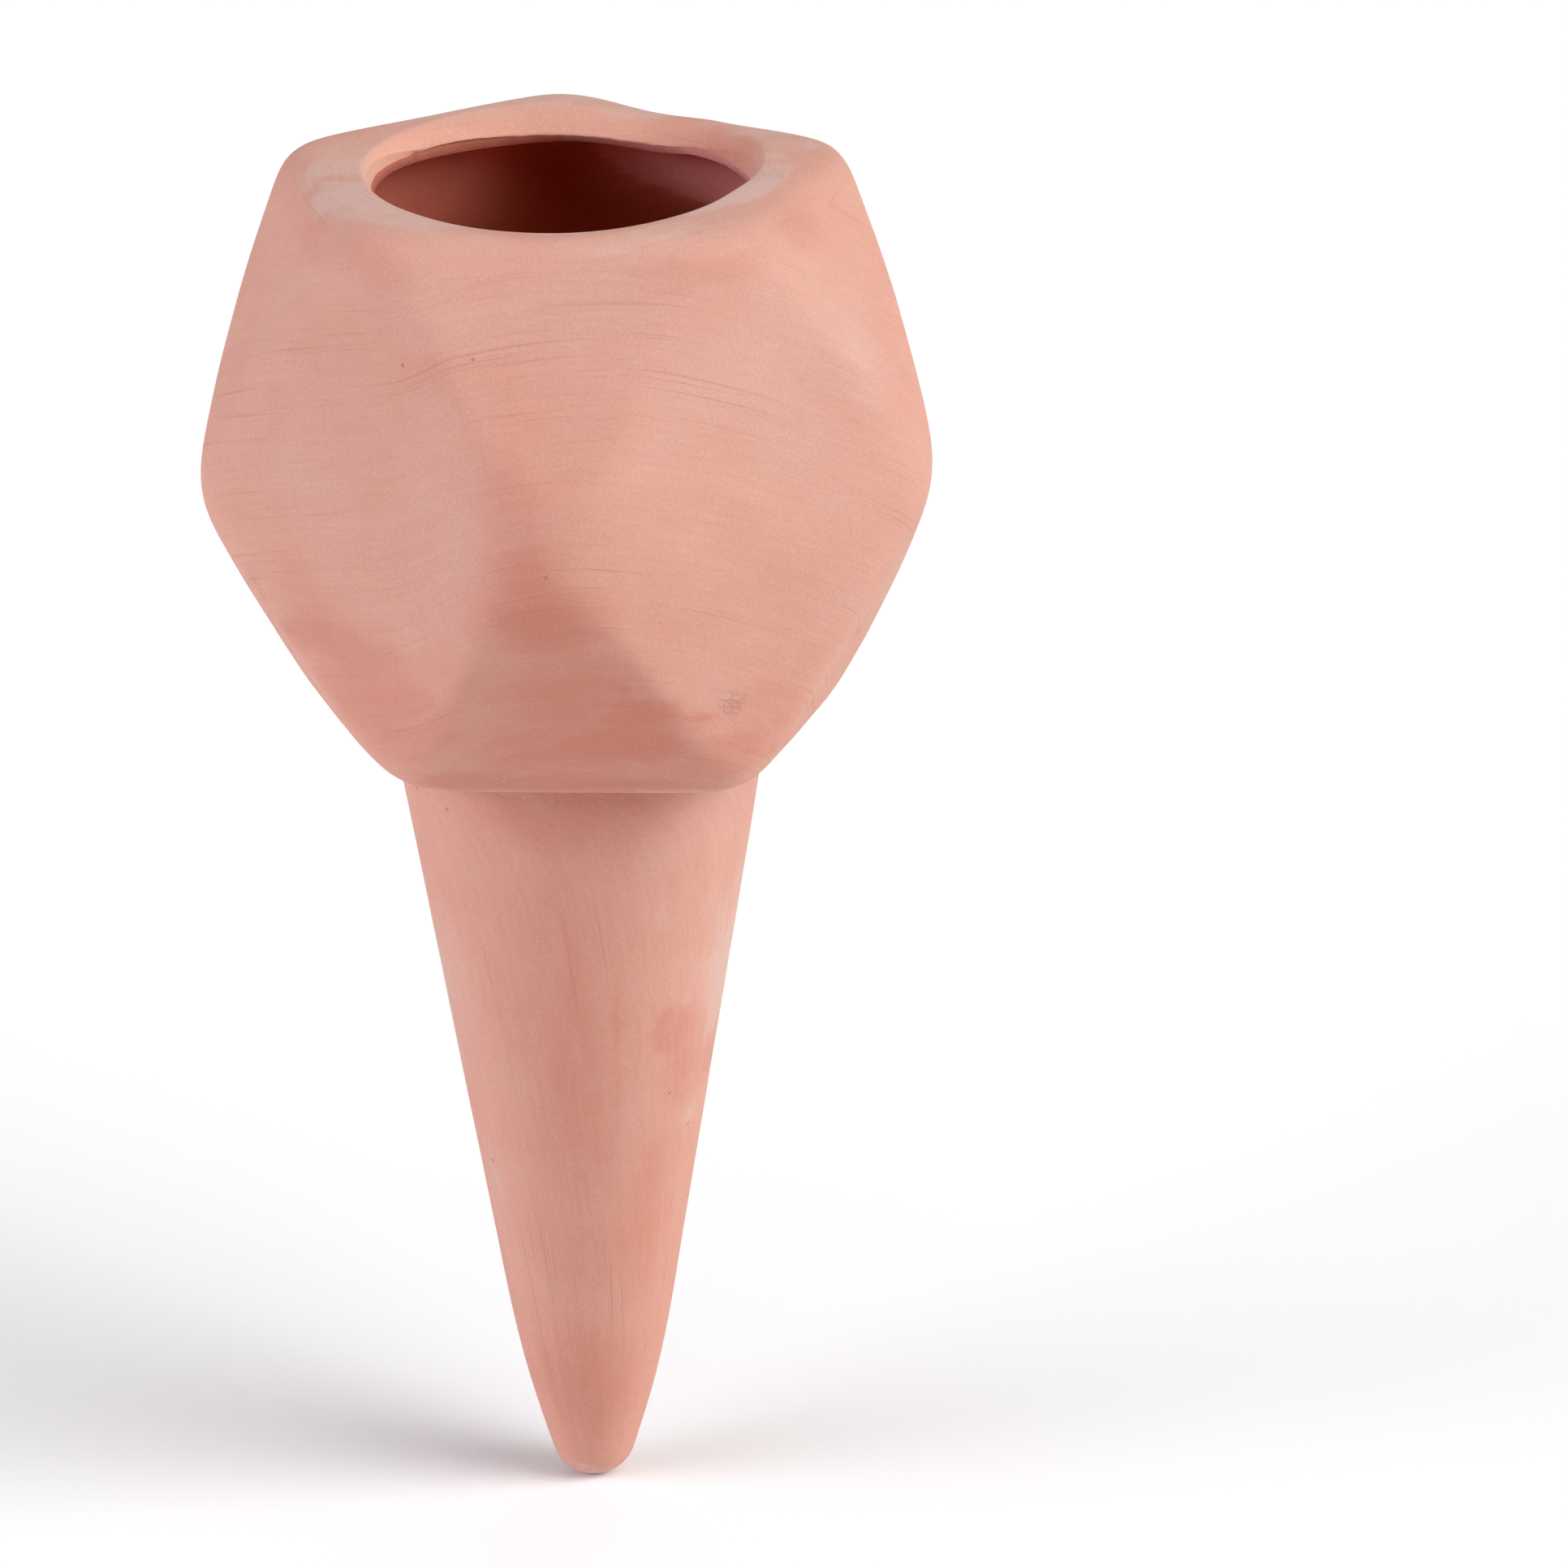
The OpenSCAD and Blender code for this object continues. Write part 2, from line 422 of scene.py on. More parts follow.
# Lime that the sponge left round the mouth: bearing and reach to each side, the radius where it
# lies and its spread to each side, and its strength
rim_lime = (
    (-62, 60, 29.0, 5.0, 0.7),
    (50, 72, 27.0, 2.4, 0.85),
    (25, 30, 32.0, 4.0, 0.45),
    (122, 30, 30.0, 4.5, 0.6),
    (185, 60, 32.0, 5.0, 0.55),
)


def patches(points, marks, ragged=1.0, crisp=4):
    """The strongest of some ragged patches at each point: strength * exp(-distance^crisp).

    The distance is sqrt(along^2 + across^2), where along is the level distance from the patch's
    place and across the height, both in spreads. Where ragged is 1 it wanders by about a third,
    in waves of about one and a half spreads, and a little more in waves of half a spread.
    """
    border_waves = ((0.3, 1.6, 31), (0.14, 0.5, 32))
    field = np.zeros(points.shape[:-1])
    for place, along, across, strength in marks:
        away = points - np.array(place)
        level = (away[..., 0] ** 2 + away[..., 1] ** 2) / along ** 2
        distance = np.sqrt(level + (away[..., 2] / across) ** 2)
        stretched = points / np.array([along, along, across])
        wandering = sum(depth * wander(stretched, length, seed) for depth, length, seed in border_waves)
        distance = distance * (1 + ragged * wandering)
        field = np.maximum(field, strength * np.exp(-distance ** crisp))
    return field


# The brush's arches at the front and right: what depth, width and its square add to the height.
# At the left the brush went nearly level. The arches start to fade at arch_end left of the middle
arch_tilt = 0.53
arch_lean = 0.118
arch_bend = 0.0059
level_tilt = 0.41
arch_end = 12
arch_fade = 12
# The radius at which the sponge's strokes are as long as the brush's, and how much finer they are
sponge_radius = 28
sponge_fineness = 1.5


def head_sweep(points, rim, bore):
    """Coordinates whose x and y run along the strokes and whose z runs across them.

    At the front and right z is height + tilt * y - lean * x + bend * x^2, and at the left it is
    height + level tilt * y. The sponge went round the rim, where z follows the radius, and the
    knife and its scraper up and down the bore, where x is the height and z the way round, from a
    seam at the hidden front.
    """
    x, y, z = points[..., 0], points[..., 1], points[..., 2]
    arches = z + arch_tilt * y - arch_lean * x + arch_bend * x ** 2
    level = z + level_tilt * y
    left = np.clip((-x - arch_end) / arch_fade, 0, 1)
    brush = np.stack([x, y, arches + (level - arches) * left], axis=-1)
    radius = np.hypot(x, y)
    turned_round = sponge_radius * points / radius[..., None]
    sponge = np.stack([turned_round[..., 0], turned_round[..., 1], sponge_fineness * radius], axis=-1)
    scraper = np.stack([z, 0 * z, mouth_radius * np.arctan2(-x, y)], axis=-1)
    strokes = brush + (sponge - brush) * rim[..., None]
    return np.where(bore[..., None], scraper, strokes)


# How far below the rim its own finish starts, and over what height that grows
rim_depth = 3.5
rim_fade = 1.5
# The lime is cloudy: how much, over what length, and the seed
lime_clouds = ((0.45, 12, 33), (0.3, 4, 34))
# A painted highlight along the arris at the front of the mouth: bearing and reach to each side, how far
# out from the bore that lies and its spread to each side, and its strength
arris_highlight_bearings = (5, 100)
arris_out = 0.3
arris_spread = 0.4
arris_highlight_strength = 1.6
# The bore was cut with a knife, and shows brighter than the wiped skin: partly the cut clay and partly
# painted light on the upright band. The colour reaches out over the lip, furthest and most weakly along
# the bevel at the back, and it is duller at the right, as painted shade: bearing and reach to each side
back_bevel = (178, 105)
cut_reach = 0.8
bevel_cut_reach = 4.2
bevel_cut_loss = 0.6
cut_shaded_side = (105, 65)
cut_shaded_side_loss = 0.7

head_points, head_inside = head_rings()
rim_nearness = np.clip((head_points[..., 2] - (rim_level - rim_depth)) / rim_fade, 0, 1)
from_axis = np.hypot(head_points[..., 0], head_points[..., 1])
bearing_here = np.degrees(np.arctan2(head_points[..., 0], -head_points[..., 1]))
lime = np.zeros(from_axis.shape)
for centre, reach, radius, spread, strength in rim_lime:
    ring = np.exp(-((from_axis - radius) / spread) ** 4)
    lime = np.maximum(lime, strength * ring * swell(bearing_here, centre, reach) ** 0.5)
cloudy = 1
for depth, length, seed in lime_clouds:
    cloudy = cloudy + depth * wander(head_points, length, seed)
lime = lime * rim_nearness * cloudy
arris = len(bore_rows)
arris_radius = from_axis[arris]
bore_wall = np.zeros(from_axis.shape, bool)
bore_wall[:arris] = True
# A painted highlight: a pale line just outside the bore's top, at the front
arris_highlight = np.exp(-((from_axis - arris_radius - arris_out) / arris_spread) ** 2) * rim_nearness
arris_highlight = arris_highlight_strength * arris_highlight * swell(bearing_here, *arris_highlight_bearings)
# The pale field is lime bloom together with the painted arris highlight
outer_bloom = np.maximum(np.maximum(patches(head_points, head_bloom), lime), arris_highlight)
outer_ruddy = np.maximum(patches(head_points, head_ruddy), patches(head_points, head_flush_and_shade, 0.3, 2))
bevelled = swell(bearing_here, *back_bevel)
cut_width = cut_reach + bevel_cut_reach * bevelled
cut = np.clip((arris_radius + cut_width - from_axis) / cut_width, 0, 1) * (1 - head_inside)
cut = cut * (1 - bevel_cut_loss * bevelled)
above_floor = head_points[..., 2] > wall + 1
cut = cut * above_floor * (1 - cut_shaded_side_loss * swell(bearing_here, *cut_shaded_side))
head = skin_mesh(
    "terracotta_head",
    head_points,
    sweep=head_sweep(head_points, rim_nearness, bore_wall),
    bloom=np.where(head_inside > 0.5, patches(head_points, inner_bloom, 0.3), outer_bloom),
    ruddy=np.where(head_inside > 0.5, patches(head_points, inner_lit_red_patches, 0.3), outer_ruddy),
    scuff=patches(head_points, head_scuffs) * (1 - head_inside),
    brushed=np.where(bore_wall, 0.8, (1 - 0.5 * rim_nearness) * (1 - 0.6 * head_inside)),
    cut=cut,
    inside=head_inside,
)

clay_hex = "#CD9886"
worn_hex = "#CB9381"
ruddy_hex = "#C27B68"
# The pale bloom colour also paints the highlight along the front arris
bloom_hex = "#CDA99D"
# The cut colour is partly painted light on the upright band under the rim
cut_and_lit_hex = "#E6A78F"
groove_hex = "#AE7767"
# The inside's dark colour is painted shade, and the two colours after it are painted light
inside_shade_hex = "#A64B26"
inner_lit_red_hex = "#F29078"
inner_lit_mauve_hex = "#EFA29B"
speck_hex = "#F0D9CF"


def linear(hex_colour):
    """An sRGB hex colour as the linear red, green, blue and alpha that a shader takes."""
    channels = np.array([int(hex_colour[i:i + 2], 16) for i in (1, 3, 5)]) / 255
    curve = np.where(channels <= 0.04045, channels / 12.92, ((channels + 0.055) / 1.055) ** 2.4)
    return (*curve, 1.0)


def add(tree, kind, inputs, **settings):
    """Adds a node, sets its properties, and gives each of its inputs a value or a link.

    A node that is given as an input is linked by its first output in use.
    """
    node = tree.nodes.new(kind)
    for setting, value in settings.items():
        setattr(node, setting, value)
    for socket, value in inputs.items():
        if isinstance(value, bpy.types.Node):
            value = next(output for output in value.outputs if output.enabled)
        if isinstance(value, bpy.types.NodeSocket):
            tree.links.new(value, node.inputs[socket])
        else:
            node.inputs[socket].default_value = value
    return node


def earthenware(name, stroke_axes, streak_depth, pit_chance):
    """Low-fired red earthenware, brushed wet and left bare. The strokes run along stroke_axes.

    The eye sees a dry, matt, chalky skin: a warm pink clay that is redder where it was rubbed and
    greyer where fine lime bloomed, with brush lines about half a millimetre apart, a few
    longer scratches, small pits where air escaped and a few white grains. Its colour also holds
    painted light and shade: a painted highlight, painted shade and shadow, and a dark inside lifted
    by painted light where light falls in.
    """
    material = bpy.data.materials.new(name)
    material.use_nodes = True
    tree = material.node_tree
    tree.nodes.clear()
    math = "ShaderNodeMath"
    step = "ShaderNodeMapRange"
    mix = "ShaderNodeMix"
    smooth = {"interpolation_type": "SMOOTHSTEP"}
    place = add(tree, "ShaderNodeTexCoord", {}).outputs["Object"]
    solid = add(tree, "ShaderNodeVectorMath", {0: place, "Scale": 1 / MM}, operation="SCALE")
    sweep = add(tree, "ShaderNodeAttribute", {}, attribute_name="sweep").outputs["Vector"]
    zones = {}
    for zone in ("bloom", "ruddy", "scuff", "brushed", "cut", "inside"):
        zones[zone] = add(tree, "ShaderNodeAttribute", {}, attribute_name=zone).outputs["Fac"]

    # Each noise pattern's coordinates, its wavelength along and across the brush in millimetres,
    # and its detail. The grain of the clay is finer than 0.1 mm and is drawn coarser, to show.
    noises = {}
    for pattern, source, along, across, detail in (
        ("fine", sweep, 9, 0.45, 2),
        ("coarse", sweep, 24, 1.8, 3),
        ("bundle", sweep, 22, 7.0, 2),
        ("scratch", sweep, 30, 0.3, 0),
        ("mottle", solid, 16, 16, 3),
        ("sponge", solid, 3.2, 3.2, 4),
        ("grain", solid, 0.32, 0.32, 2),
        ("lumps", solid, 0.55, 0.55, 2),
    ):
        scale = [1 / along if axis in stroke_axes else 1 / across for axis in "XYZ"]
        spread = add(tree, "ShaderNodeMapping", {"Vector": source, "Scale": scale})
        settings = {"Vector": spread, "Scale": 1.0, "Detail": detail, "Roughness": 0.55}
        noises[pattern] = add(tree, "ShaderNodeTexNoise", settings)

    # Feathered brush ends: streaks and sponge marks shift the ruddy patches' borders, and break
    # up the bloom and the painted light in the pale field
    feather = add(tree, math, {0: noises["sponge"], 1: 0.5, 2: -0.7}, operation="MULTIPLY_ADD")
    feather = add(tree, math, {0: noises["coarse"], 1: 0.9, 2: feather}, operation="MULTIPLY_ADD")
    border = add(tree, math, {0: zones["ruddy"], 1: feather}, operation="ADD")
    edges = {"Value": border, "From Min": 0.3, "From Max": 0.7, "To Max": 0.24}
    streaked = add(tree, step, edges, **smooth)
    layers = {0: zones["ruddy"], 1: 0.75, 2: streaked}
    areas = {"ruddy": add(tree, math, layers, operation="MULTIPLY_ADD")}
    feather = add(tree, math, {0: feather, 1: 1.2, 2: 1.0}, operation="MULTIPLY_ADD")
    bloom_and_light_area = add(tree, math, {0: zones["bloom"], 1: feather}, operation="MULTIPLY", use_clamp=True)
    edges = {"Value": bloom_and_light_area, "From Min": 0.25, "From Max": 0.55, "To Max": 0.3}
    streaked = add(tree, step, edges, **smooth)
    layers = {0: bloom_and_light_area, 1: 0.72, 2: streaked}
    areas["bloom"] = add(tree, math, layers, operation="MULTIPLY_ADD", use_clamp=True)
    strays = add(tree, math, {0: noises["bundle"], 1: noises["mottle"]}, operation="ADD")

    # Colours laid over one another: each one, then the field that it follows and where that
    # starts and ends, and its strength
    surface = linear(clay_hex)
    for colour, field, start, end, strength in (
        (worn_hex, noises["mottle"], 0.35, 0.65, 0.7),
        (ruddy_hex, strays, 1.0, 1.3, 0.08),
        (bloom_hex, strays, 1.0, 0.7, 0.08),
    ):
        edges = {"Value": field, "From Min": start, "From Max": end, "To Max": strength}
        amount = add(tree, step, edges, **smooth)
        surface = add(tree, mix, {0: amount, 6: surface, 7: linear(colour)}, data_type="RGBA")
    for colour, area in (
        (cut_and_lit_hex, zones["cut"]),
        (ruddy_hex, areas["ruddy"]),
        (bloom_hex, areas["bloom"]),
    ):
        surface = add(tree, mix, {0: area, 6: surface, 7: linear(colour)}, data_type="RGBA")

    # Inside, the dark red is painted shade, lifted by painted light to a lighter red and a pale mauve
    inner = linear(inside_shade_hex)
    for colour, area in ((inner_lit_red_hex, zones["ruddy"]), (inner_lit_mauve_hex, areas["bloom"])):
        inner = add(tree, mix, {0: area, 6: inner, 7: linear(colour)}, data_type="RGBA")
    surface = add(tree, mix, {0: zones["inside"], 6: surface, 7: inner}, data_type="RGBA")

    # Brush lines and grain lighten and darken the clay a little
    streaks = add(tree, math, {0: noises["fine"], 1: 0.5}, operation="SUBTRACT")
    streaks = add(tree, math, {0: streaks, 1: zones["brushed"]}, operation="MULTIPLY")
    bands = add(tree, math, {0: noises["coarse"], 1: 0.5}, operation="SUBTRACT")
    bands = add(tree, math, {0: bands, 1: zones["brushed"]}, operation="MULTIPLY")
    shade = add(tree, math, {0: streaks, 1: 0.13, 2: 0.85}, operation="MULTIPLY_ADD")
    shade = add(tree, math, {0: bands, 1: 0.025, 2: shade}, operation="MULTIPLY_ADD")
    shade = add(tree, math, {0: noises["grain"], 1: 0.3, 2: shade}, operation="MULTIPLY_ADD")
    surface = add(tree, mix, {0: 1.0, 6: surface, 7: shade}, data_type="RGBA", blend_type="MULTIPLY")

    # A scratch runs where its thin noise is near its highest, and mostly in some bundles
    thin = add(tree, step, {"Value": noises["scratch"], "From Min": 0.66, "From Max": 0.8}, **smooth)
    held = add(tree, step, {"Value": noises["bundle"], "From Min": 0.42, "From Max": 0.62}, **smooth)
    scratch = add(tree, math, {0: thin, 1: held}, operation="MULTIPLY")
    scratch = add(tree, math, {0: scratch, 1: zones["brushed"]}, operation="MULTIPLY")

    # Pits and grains sit one to a cell, 4.5 or 9 mm wide, in the cells whose own chance is low
    dots = {}
    for dot, cell, radius, chance in (("pit", 4.5, 0.26, pit_chance), ("speck", 9.0, 0.16, 0.3)):
        cells = add(tree, "ShaderNodeTexVoronoi", {"Vector": solid, "Scale": 1 / cell})
        reach = radius / cell
        edges = {"Value": cells.outputs["Distance"], "From Min": reach, "From Max": 0.6 * reach}
        spot = add(tree, step, edges, **smooth)
        own = add(tree, "ShaderNodeSeparateColor", {0: cells.outputs["Color"]})
        lucky = add(tree, math, {0: own, 1: chance}, operation="LESS_THAN")
        dots[dot] = add(tree, math, {0: spot, 1: lucky}, operation="MULTIPLY")

    # Where the skin is scuffed it is pebbly, with dark hollows
    lumps = {"Value": noises["lumps"], "From Min": 0.58, "From Max": 0.44}
    rough = add(tree, step, lumps, **smooth)
    rough = add(tree, math, {0: rough, 1: zones["scuff"]}, operation="MULTIPLY")

    for colour, field, strength in (
        (groove_hex, scratch, 0.3),
        (groove_hex, rough, 0.35),
        (groove_hex, dots["pit"], 0.8),
        (speck_hex, dots["speck"], 0.8),
    ):
        amount = add(tree, math, {0: field, 1: strength}, operation="MULTIPLY")
        surface = add(tree, mix, {0: amount, 6: surface, 7: linear(colour)}, data_type="RGBA")

    # Heights in millimetres: brush lines, scratches, pits, and the rough places
    height = 0.0
    for field, rise in (
        (streaks, streak_depth),
        (bands, 0.6 * streak_depth),
        (scratch, -0.03),
        (noises["grain"], 0.03),
        (noises["sponge"], 0.035),
        (dots["pit"], -0.12),
        (dots["speck"], 0.05),
        (rough, -0.1),
    ):
        height = add(tree, math, {0: field, 1: rise, 2: height}, operation="MULTIPLY_ADD")
    relief = add(tree, "ShaderNodeBump", {"Height": height, "Distance": MM, "Strength": 1.0})

    # The dry skin is nearly as rough as can be, and varies a little with the mottling
    dryness = {
        "Value": noises["mottle"],
        "From Min": 0.3,
        "From Max": 0.7,
        "To Min": 0.86,
        "To Max": 0.95,
    }
    shader = add(tree, "ShaderNodeBsdfPrincipled", {
        "Base Color": surface,
        "Roughness": add(tree, step, dryness, **smooth),
        "Normal": relief,
        "IOR": 1.45,
    })
    add(tree, "ShaderNodeOutputMaterial", {"Surface": shader})
    return material


head_clay = earthenware("sponged_red_earthenware", "XY", 0.025, 0.05)
head.data.materials.append(head_clay)
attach(head, "root")
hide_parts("head")

# Spike
# A hollow taper of the same clay, slip cast, brushed from the top down to the tip while damp.
# Its spigot passes through the hole in the head's floor, and its shoulder meets the underside.
tip_level = spike_low.z / MM
spike_length = -tip_level
spike_foot_radius = 6.5
flank_arc_radius = 150
nose_radius = 5.7
tip_wall = 4.5
hollow_nose_radius = 1.5
spike_slack = 0.12
# The spike is very slightly bowed and leans to the left: how far it steps to the right under the
# shoulder, over what height, and its lean per millimetre below
bow_step = 0.37
bow_height = 4
bow_lean = 0.006
spigot_round = 0.5
spigot_clearance = 0.02
shoulder_bevel = 0.35

spike_columns = 256
flank_rows = 230
nose_rows = 40
hollow_rows = 50
hollow_nose_rows = 8

flank_slope = np.arctan((spike_top_radius - spike_foot_radius) / spike_length)
level_wall = wall / np.cos(flank_slope)
hollow_top_radius = spike_top_radius - level_wall


def blunt_cone(foot_radius, height, arc_radius, nose, rows, arc_rows):
    """Radii and heights of a taper's outline from its top to its nose, whose tip is at height 0.

    The nose is an arc, a long arc leads from it into the straight flank and is tangent to both.
    The dip is the fall of the outline's normal below level, a quarter turn at the tip.
    """
    to_flank = foot_radius * np.cos(flank_slope) + nose * np.sin(flank_slope)
    inward = arc_radius - to_flank
    along = np.sqrt((arc_radius - nose) ** 2 - inward ** 2)
    centre_radius = along * np.sin(flank_slope) - inward * np.cos(flank_slope)
    centre_height = nose + inward * np.sin(flank_slope) + along * np.cos(flank_slope)
    meeting = np.arctan2(centre_height - nose, -centre_radius)
    straight_end = centre_height - arc_radius * np.sin(flank_slope)
    straight_share = (height - straight_end) / height
    straight_rows = int(rows * straight_share)
    heights = np.linspace(height, straight_end, straight_rows, endpoint=False)
    radii = foot_radius + heights * np.tan(flank_slope)
    dip = np.linspace(flank_slope, meeting, rows - straight_rows, endpoint=False)
    radii = np.append(radii, centre_radius + arc_radius * np.cos(dip))
    heights = np.append(heights, centre_height - arc_radius * np.sin(dip))
    dip = np.linspace(meeting, np.pi / 2, arc_rows, endpoint=False)
    return np.append(radii, nose * np.cos(dip)), np.append(heights, nose - nose * np.sin(dip))


def bow(levels):
    """How far the spike stands to the right of the axis at these levels.

    It is step * (1 - exp(-depth / height)) - lean * depth.
    """
    depth = np.maximum(-levels, 0)
    return bow_step * (1 - np.exp(-depth / bow_height)) - bow_lean * depth


def spike_rings():
    """The spike's wall as rings: from the bottom of the hollow up its inside, over the spigot, out
    along the shoulder, and down the flank to the tip. Two poles close the hollow and the tip.
    """
    bearings = np.arange(spike_columns) * 360 / spike_columns
    radii, heights = blunt_cone(
        spike_foot_radius,
        spike_length - slip_gap,
        flank_arc_radius,
        nose_radius,
        flank_rows,
        nose_rows,
    )
    flank = turned(radii[:, None] * np.ones(spike_columns), heights[:, None] + tip_level, bearings)
    level = np.array([0, 0, 1])
    lean = flank * np.array([1, 1, 0.45])
    uneven = spike_slack * (0.5 + 0.3 * wander(lean, 34, 11) + 0.2 * wander(flank, 12, 12))
    outward = flank * (1 - level)
    outward /= np.linalg.norm(outward, axis=-1, keepdims=True)
    flank = flank - outward * np.clip(uneven, 0, 0.5 * radii[:, None])[..., None]
    flank[..., 2] = np.maximum(flank[..., 2], tip_level)
    flank[..., 0] += bow(flank[..., 2])

    foot = spike_foot_radius + tip_wall * np.tan(flank_slope) - level_wall
    inner_radii, inner_heights = blunt_cone(
        foot,
        spike_length - tip_wall,
        flank_arc_radius - wall,
        hollow_nose_radius,
        hollow_rows,
        hollow_nose_rows,
    )
    inner_radii, inner_heights = inner_radii[::-1], inner_heights[::-1]
    inner_radii = inner_radii[:, None] * np.ones(spike_columns)
    hollow = turned(inner_radii, inner_heights[:, None] + tip_level + tip_wall, bearings)
    hollow[..., 0] += bow(hollow[..., 2])

    corner = spigot_radius - spigot_clearance
    spigot_outline = np.array([
        (hollow_top_radius, wall - spigot_round),
        (hollow_top_radius + spigot_round, wall),
        (corner - spigot_round, wall),
        (corner, wall - spigot_round),
        (corner, -slip_gap + 0.05),
        (corner + 0.05, -slip_gap),
        (spike_top_radius - shoulder_bevel, -slip_gap),
        (spike_top_radius - 0.12, -slip_gap - 0.05),
    ])
    spigot = turned(
        spigot_outline[:, :1] * np.ones(spike_columns), spigot_outline[:, 1:] + 0 * bearings, bearings
    )
    rings = np.concatenate([hollow, spigot, flank[1:]])
    # The hollow and the spigot's four upper rings look inwards
    hidden = len(hollow) + 4
    inside = np.concatenate([np.ones(hidden), np.zeros(len(rings) - hidden)])
    pole_levels = np.array([tip_level + tip_wall, tip_level])
    poles = np.stack([bow(pole_levels), 0 * pole_levels, pole_levels], axis=-1)
    return rings, inside[:, None] * np.ones(spike_columns), poles


spike_bloom = (
    ((18.5, -3.8, -32.2), 6, 13, 0.7),
    ((-7.5, -14.9, -45.5), 4, 8, 0.2),
    ((-17.0, -8.0, -30.0), 5, 14, 0.25),
    ((-17.0, -4.0, -34.0), 5, 11, 0.6),
    ((-9.5, -6.0, -60.0), 4, 9, 0.4),
    ((0.0, -4.8, -104.5), 6, 1.5, 0.7),
    ((21.0, -12.0, -8.0), 8, 9, 0.2),
    ((4.0, 19.0, -22.0), 9, 14, 0.3),
)
spike_ruddy = (
    ((12.6, -12.8, -37.8), 4.2, 4.8, 0.6),
    ((16.0, -5.0, -44.8), 2.4, 5.0, 0.4),
    ((-6.0, 14.0, -50.0), 7, 12, 0.4),
)
# Those without an edge: a painted shadow under the head, painted shade down the front, and where it was
# held
spike_flush_and_shadow = (
    ((13.5, -10.5, -43.5), 5.0, 9.0, 0.6),
    ((2.0, -22.0, -1.0), 15, 13, 0.7),
    ((8.0, -11.0, -64.0), 8, 22, 0.5),
    ((0.0, -9.0, -90.0), 11, 16, 0.6),
    ((0.0, -16.0, -42.0), 10, 50, 0.55),
)
spike_scuffs = (
    ((17.0, -3.0, -43.0), 2.0, 4.0, 0.4),
    ((0.0, -23.5, -2.0), 14.0, 1.0, 0.4),
)
stroke_radius = 12
spike_lean = 0.06
# At the top the strokes start off askew, in radians, and straighten within a few millimetres
top_skew = 0.5
top_skew_fall = 6


def spike_sweep(points):
    """Coordinates round and down the spike: the strokes run down it and draw together at its tip.

    Bearings become arc lengths at stroke_radius from the axis, so a stroke narrows with the
    taper. A slight twist leans the strokes as they go down, and exp(z / top_skew_fall) skews them
    under the shoulder.
    """
    x, y, z = points[..., 0], points[..., 1], points[..., 2]
    skew = top_skew * np.exp(np.minimum(z, 0) / top_skew_fall)
    bearing = np.arctan2(x, -y) + spike_lean * z / stroke_radius + skew
    return np.stack([stroke_radius * np.sin(bearing), -stroke_radius * np.cos(bearing), z], axis=-1)


spike_points, spike_inside, spike_poles = spike_rings()
spike = skin_mesh(
    "terracotta_spike",
    spike_points,
    spike_poles,
    sweep=spike_sweep(spike_points),
    bloom=patches(spike_points, spike_bloom, 1.0, 2.5),
    ruddy=np.maximum(patches(spike_points, spike_ruddy), patches(spike_points, spike_flush_and_shadow, 0.6, 2)),
    scuff=patches(spike_points, spike_scuffs),
    brushed=1 - spike_inside,
    inside=spike_inside,
)
spike_clay = earthenware("brushed_red_earthenware", "Z", 0.03, 0.6)
spike.data.materials.append(spike_clay)
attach(spike, "root")
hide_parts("spike")

# Luting slip
# A ring of liquid clay that joins the spigot to the head's floor and fills the shoulder's gap.
# What squeezed out inside was left as a low, uneven bead, and the fired slip is a little darker.
slip_columns = 192
bead_height = 0.55
bead_width = 1.3
slip_clearance = 0.02
bead_columns = 9
# How far the slip stays back from the shoulder's edge, and how unevenly
washer_inset = 0.1
washer_stray = 0.08
washer_bulge = 0.04


def slip_rings():
    """The ring's section turned round the axis: out along the shoulder, up the sleeve and back over
    the bead inside the head, whose height wanders round the ring.
    """
    bearings = np.arange(slip_columns) * 360 / slip_columns
    around = turned(np.full(slip_columns, spigot_radius), np.zeros(slip_columns), bearings)
    bead = bead_height * (0.75 + 0.25 * wander(around, 9, 21))
    washer_radius = spike_top_radius - slip_gap - washer_inset + washer_stray * wander(around, 7, 22)
    hump = np.linspace(0, np.pi, bead_columns)[:, None]
    bead_centre = (spigot_radius + floor_hole_radius) / 2
    bead_radii = bead_centre - bead_width / 2 * np.cos(hump) + 0 * bearings
    bead_levels = wall + slip_clearance + bead * np.sin(hump)
    spigot_side = spigot_radius + slip_clearance
    sleeve_side = floor_hole_radius - slip_clearance
    section = (
        (spigot_side, wall + slip_clearance),
        (spigot_side, -slip_gap + slip_clearance),
        (washer_radius, -slip_gap + slip_clearance),
        (washer_radius + washer_bulge, -slip_gap / 2),
        (washer_radius, -slip_clearance),
        (sleeve_side, -slip_clearance),
        (sleeve_side, wall + slip_clearance),
    )
    radii = np.concatenate([[radius + 0 * bearings for radius, _ in section], bead_radii[::-1]])
    levels = np.concatenate([[level + 0 * bearings for _, level in section], bead_levels[::-1]])
    return turned(radii, levels, bearings)[::-1]


slip_points = slip_rings()
bare = np.zeros(slip_points.shape[:2])
slip = skin_mesh(
    "luting_slip_ring",
    slip_points,
    sweep=slip_points,
    bloom=bare + 0.3,
    ruddy=bare + 0.6,
    scuff=bare + 0.3,
    brushed=bare + 0.5,
    inside=bare + 0.3,
)
slip.data.materials.append(earthenware("wiped_fired_slip", "XY", 0.05, 0.5))
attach(slip, "root")
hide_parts("luting_slip")

